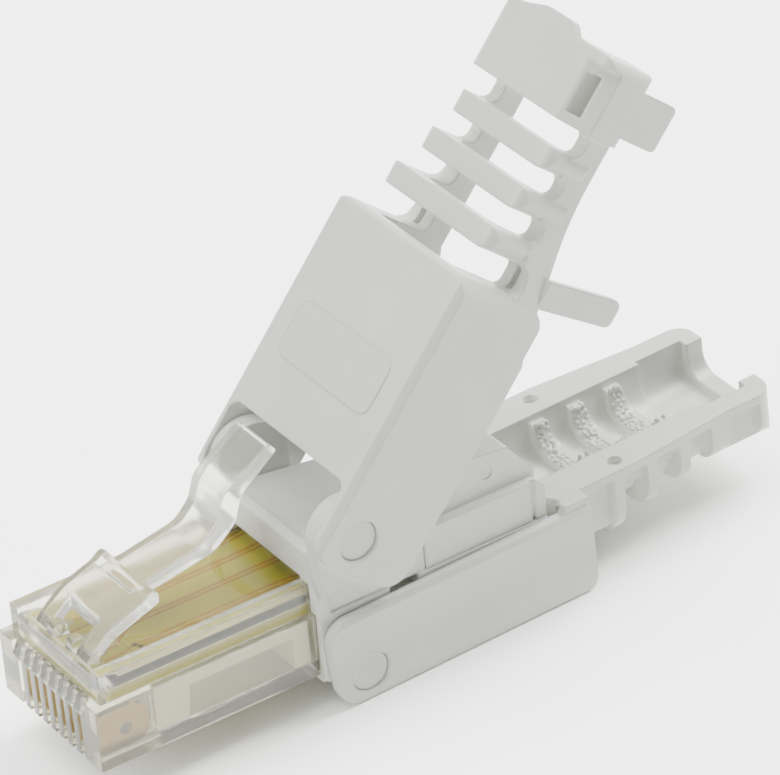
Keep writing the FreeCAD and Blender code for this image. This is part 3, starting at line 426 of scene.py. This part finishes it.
# --- Terminal blades ---------------------------------------------------------------
# Eight forked blades that bite through the conductors' insulation: tin over
# phosphor bronze, with the stamping's shear marks of 0.3 mm.
tin_plate, shader = start_material("tinned_bronze")
where = add_node(tin_plate, "ShaderNodeTexCoord")
stamping = add_node(tin_plate, "ShaderNodeTexNoise", {"Vector": (where, "Object")},
                    Scale=3000.0, Detail=3.0)
dullness = add_node(tin_plate, "ShaderNodeMapRange", {"Value": (stamping, "Fac")},
                    To_Min=0.25, To_Max=0.45)
tin_plate.node_tree.links.new(dullness.outputs["Result"], shader.inputs["Roughness"])
shader.inputs["Base Color"].default_value = linear("D6D3CC")
shader.inputs["Metallic"].default_value = 1.0
set_finish(tin_plate, *(f"terminal_blade_{number}" for number in CONTACT_NUMBERS))


# --- Housing, wire cap and covers -----------------------------------------------------
# Four rigid mouldings in light-grey white ABS, from tools finished with a fine
# spark-eroded grain, so they shine softly and their edges are a little round.
moulded_abs, shader = start_material("white_moulded_abs")
where = add_node(moulded_abs, "ShaderNodeTexCoord")
# The grain is drawn at 0.12 mm, coarser than the real one, so that it shows.  Shrinkage leaves a slow
# unevenness of 4 mm.
grain = add_node(moulded_abs, "ShaderNodeTexNoise", {"Vector": (where, "Object")},
                 Scale=8000.0, Detail=2.0)
sink = add_node(moulded_abs, "ShaderNodeTexNoise", {"Vector": (where, "Object")},
                Scale=250.0, Detail=1.0)
shade = add_node(moulded_abs, "ShaderNodeValToRGB", {"Fac": (sink, "Fac")})
shade.color_ramp.elements[0].color = linear("9A9B96")
shade.color_ramp.elements[1].color = linear("A0A19C")
soft_edge = add_node(moulded_abs, "ShaderNodeBevel", samples=6, Radius=0.00025)
relief = add_node(moulded_abs, "ShaderNodeBump",
                  {"Height": (grain, "Fac"), "Normal": (soft_edge, "Normal")},
                  Strength=0.2, Distance=0.00002)
waves = add_node(moulded_abs, "ShaderNodeBump",
                 {"Height": (sink, "Fac"), "Normal": (relief, "Normal")},
                 Strength=0.15, Distance=0.00006)
# White plastic lets a little light through, and its hollows look lighter than an opaque grey's; here
# that is painted light: the base colour is lifted up to 1.9 times in the hollows that ambient occlusion
# finds within 6 mm.
hollow = add_node(moulded_abs, "ShaderNodeAmbientOcclusion", samples=8, Distance=0.006)
painted_light_lift = add_node(moulded_abs, "ShaderNodeMapRange", {"Value": (hollow, "AO")},
                From_Min=0.25, From_Max=0.75, To_Min=1.9, To_Max=1.0)
painted_light_colour = add_node(moulded_abs, "ShaderNodeHueSaturation",
                  {"Color": (shade, "Color"), "Value": (painted_light_lift, "Result")})
# The painted light in the hollows goes into the base colour here.
moulded_abs.node_tree.links.new(painted_light_colour.outputs["Color"], shader.inputs["Base Color"])
moulded_abs.node_tree.links.new(waves.outputs["Normal"], shader.inputs["Normal"])
shader.inputs["Roughness"].default_value = 0.38
shader.inputs["IOR"].default_value = 1.53
shader.inputs["Subsurface Weight"].default_value = 0.12
shader.inputs["Subsurface Radius"].default_value = (1.0, 0.95, 0.85)
shader.inputs["Subsurface Scale"].default_value = 0.0008
set_finish(moulded_abs, "terminal_housing", "wire_cap", "upper_cover", "lower_cover")

# The upper cover stands open over the plug, turned about the trunnions above the lower ones.
UPPER_TRUNNION_Z = 9.56
UPPER_OPEN = math.radians(49.6)


def on_upper(u, y, v):
    """A place in the upper cover's frame, back and up from its trunnions, as metres in the scene."""
    return on_plug(TRUNNION_X + math.cos(UPPER_OPEN) * u - math.sin(UPPER_OPEN) * v, y,
                   UPPER_TRUNNION_Z + math.sin(UPPER_OPEN) * u + math.cos(UPPER_OPEN) * v)


# A blank field for a cable number, 4.1 mm by 10.2 mm, as an insert in the tool leaves it.  It stands
# 0.04 mm proud of the upper cover's top, and starts a hair below it.  Its place is given by the middles
# of its round corners.
FIELD_FROM, FIELD_TO = 7.9, 10.1
FIELD_HALF = 4.15
FIELD_CORNER = 0.95
FIELD_FOOT, FIELD_TOP = 2.74, 2.79
QUARTER_TURN = [math.radians(degrees) for degrees in range(0, 91, 15)]
corners = [(FIELD_TO, -FIELD_HALF, 270), (FIELD_TO, FIELD_HALF, 0), (FIELD_FROM, FIELD_HALF, 90),
           (FIELD_FROM, -FIELD_HALF, 180)]
rim = [(u + FIELD_CORNER * math.cos(math.radians(start) + step),
        y + FIELD_CORNER * math.sin(math.radians(start) + step))
       for u, y, start in corners for step in QUARTER_TURN]
points = [on_upper(u, y, v) for v in (FIELD_FOOT, FIELD_TOP) for u, y in rim]
sides = [(i, (i + 1) % len(rim), len(rim) + (i + 1) % len(rim), len(rim) + i) for i in range(len(rim))]
ends = [tuple(range(len(rim), 2 * len(rim))), tuple(reversed(range(len(rim))))]
label_field = mesh_piece("label_field", points, ends + sides, moulded_abs)
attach(label_field, "upper_cover_body")


def on_lower(u, y, v):
    """A place in the lower cover's frame, back and up from its trunnions, as metres in the scene."""
    return (u + SCENE_TRUNNION_X) / 1000, y / 1000, (v + SCENE_TRUNNION_Z) / 1000


# The grip ribs in the lower channel carry rough points that bite into the cable's jacket.  They are
# scattered over a strip 0.9 mm wide along each rib: in from the edge of its top, down its inner face and
# round its arc to the middle, then up the other side.
GRIP_RIBS = 3
GRIP_FROM = 19.9
GRIP_PITCH = 2.98
STRIP_FROM, STRIP_TO = 0.1, 1.0
ARC_RADIUS = 1.9
ARC_Y, ARC_V = -0.55, 4.69
course = [(-2.75, 4.49), (-2.48, 4.5), (-2.45, 4.3)]
course += [(ARC_Y - ARC_RADIUS * math.cos(t), ARC_V - ARC_RADIUS * math.sin(t)) for t in QUARTER_TURN]
course += [(-y, v) for y, v in reversed(course)]
points, faces = [], []
for rib in range(GRIP_RIBS):
    start = GRIP_FROM + GRIP_PITCH * rib
    first = len(points)
    points += [on_lower(u, y, v) for y, v in course for u in (start + STRIP_FROM, start + STRIP_TO)]
    faces += [(first + 2 * i, first + 2 * i + 1, first + 2 * i + 3, first + 2 * i + 2)
              for i in range(len(course) - 1)]
grip_points = mesh_piece("grip_points", points, faces, moulded_abs)

# The points lie at least 0.3 mm apart, and each is a flattened ball of its own size.  So many are tried
# on a square metre that the spacing alone sets their number.
POINT_SPACING = 0.00030
POINT_RADIUS = 0.00017
SCATTER_SEED = 7
DENSEST = 1.0e8
FLATTEST, FULLEST = (0.8, 0.8, 0.2), (1.5, 1.5, 0.75)
tree = bpy.data.node_groups.new("rough_points", "GeometryNodeTree")
tree.interface.new_socket("Geometry", in_out="INPUT", socket_type="NodeSocketGeometry")
spacing = tree.interface.new_socket("Spacing", in_out="INPUT", socket_type="NodeSocketFloat")
radius = tree.interface.new_socket("Radius", in_out="INPUT", socket_type="NodeSocketFloat")
seed = tree.interface.new_socket("Seed", in_out="INPUT", socket_type="NodeSocketInt")
finish = tree.interface.new_socket("Finish", in_out="INPUT", socket_type="NodeSocketMaterial")
tree.interface.new_socket("Geometry", in_out="OUTPUT", socket_type="NodeSocketGeometry")
given = tree.nodes.new("NodeGroupInput")
result = tree.nodes.new("NodeGroupOutput")
scatter = tree.nodes.new("GeometryNodeDistributePointsOnFaces")
scatter.distribute_method = "POISSON"
scatter.inputs["Density Max"].default_value = DENSEST
point = tree.nodes.new("GeometryNodeMeshIcoSphere")
point.inputs["Subdivisions"].default_value = 2
place = tree.nodes.new("GeometryNodeInstanceOnPoints")
uneven = tree.nodes.new("FunctionNodeRandomValue")
uneven.data_type = "FLOAT_VECTOR"
uneven.inputs["Min"].default_value = FLATTEST
uneven.inputs["Max"].default_value = FULLEST
solid = tree.nodes.new("GeometryNodeRealizeInstances")
rounded = tree.nodes.new("GeometryNodeSetShadeSmooth")
paint = tree.nodes.new("GeometryNodeSetMaterial")
for source, output, target, entry in (
    (given, "Geometry", scatter, "Mesh"), (given, "Spacing", scatter, "Distance Min"),
    (given, "Seed", scatter, "Seed"), (given, "Radius", point, "Radius"),
    (scatter, "Points", place, "Points"), (scatter, "Rotation", place, "Rotation"),
    (point, "Mesh", place, "Instance"), (uneven, "Value", place, "Scale"),
    (place, "Instances", solid, "Geometry"), (solid, "Geometry", rounded, "Geometry"),
    (rounded, "Geometry", paint, "Geometry"), (given, "Finish", paint, "Material"),
    (paint, "Geometry", result, "Geometry"),
):
    tree.links.new(source.outputs[output], target.inputs[entry])
rough = grip_points.modifiers.new("rough_points", "NODES")
rough.node_group = tree
rough[spacing.identifier] = POINT_SPACING
rough[radius.identifier] = POINT_RADIUS
rough[seed.identifier] = SCATTER_SEED
rough[finish.identifier] = moulded_abs
shaped = grip_points.evaluated_get(bpy.context.evaluated_depsgraph_get())
strewn = bpy.data.meshes.new_from_object(shaped)
grip_points.modifiers.remove(rough)
grip_points.data = strewn
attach(grip_points, "lower_cover_body")


low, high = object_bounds()
